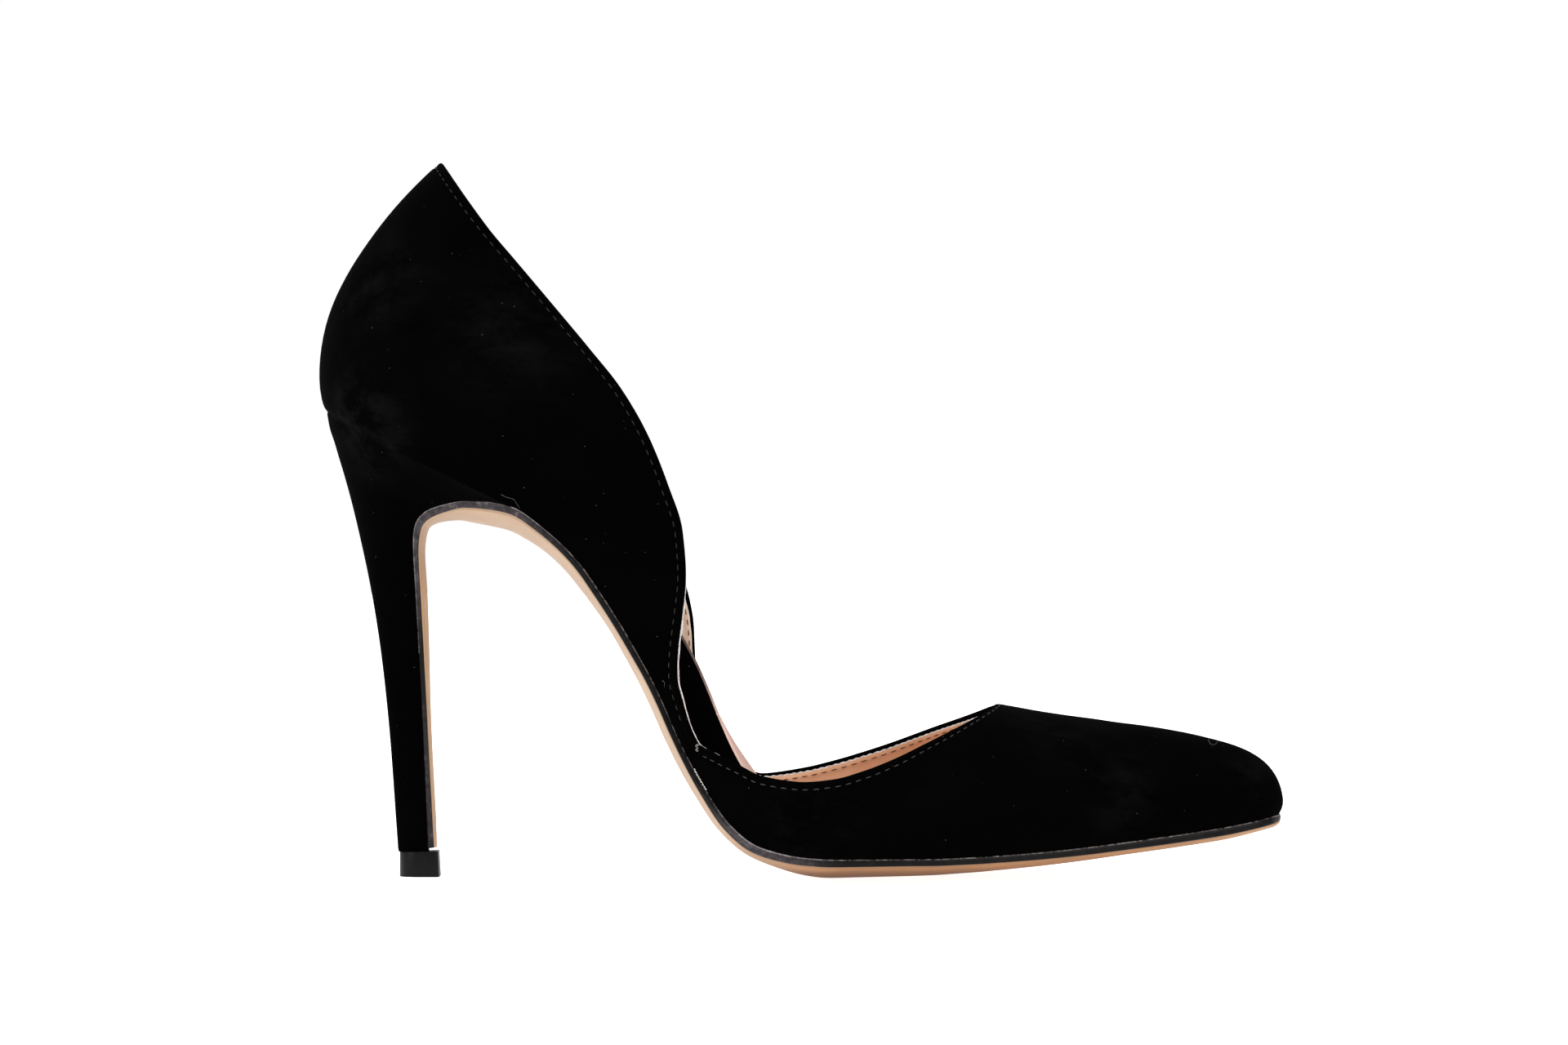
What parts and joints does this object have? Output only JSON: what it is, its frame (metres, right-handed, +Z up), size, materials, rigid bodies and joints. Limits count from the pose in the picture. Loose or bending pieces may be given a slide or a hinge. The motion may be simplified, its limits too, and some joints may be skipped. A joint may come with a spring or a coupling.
{
  "type": "high heel",
  "caption": "Pointed black suede high heel with an open waist, a tall peaked counter, a slim covered heel and a tan leather sole.",
  "frame": {"origin": "on the floor, under the middle of the bounding box", "axes": "+X towards the toe, +Y towards the inner side of the foot, +Z up"},
  "size_m": [0.2103, 0.0741, 0.1554],
  "materials": {
    "black_suede": "matte napped suede",
    "suede_wrapped_board": "matte",
    "pale_sock_leather": "smooth satin",
    "tan_sole_leather": "polished, black painted edge",
    "black_heel_suede": "matte napped suede",
    "charcoal_rubber": "satin"
  },
  "bodies": {
    "root": {"upper": "black_suede", "insole": "suede_wrapped_board", "sock_lining": "pale_sock_leather", "outsole": "tan_sole_leather", "heel": "black_heel_suede", "top_piece": "charcoal_rubber"}
  },
  "joints": []
}
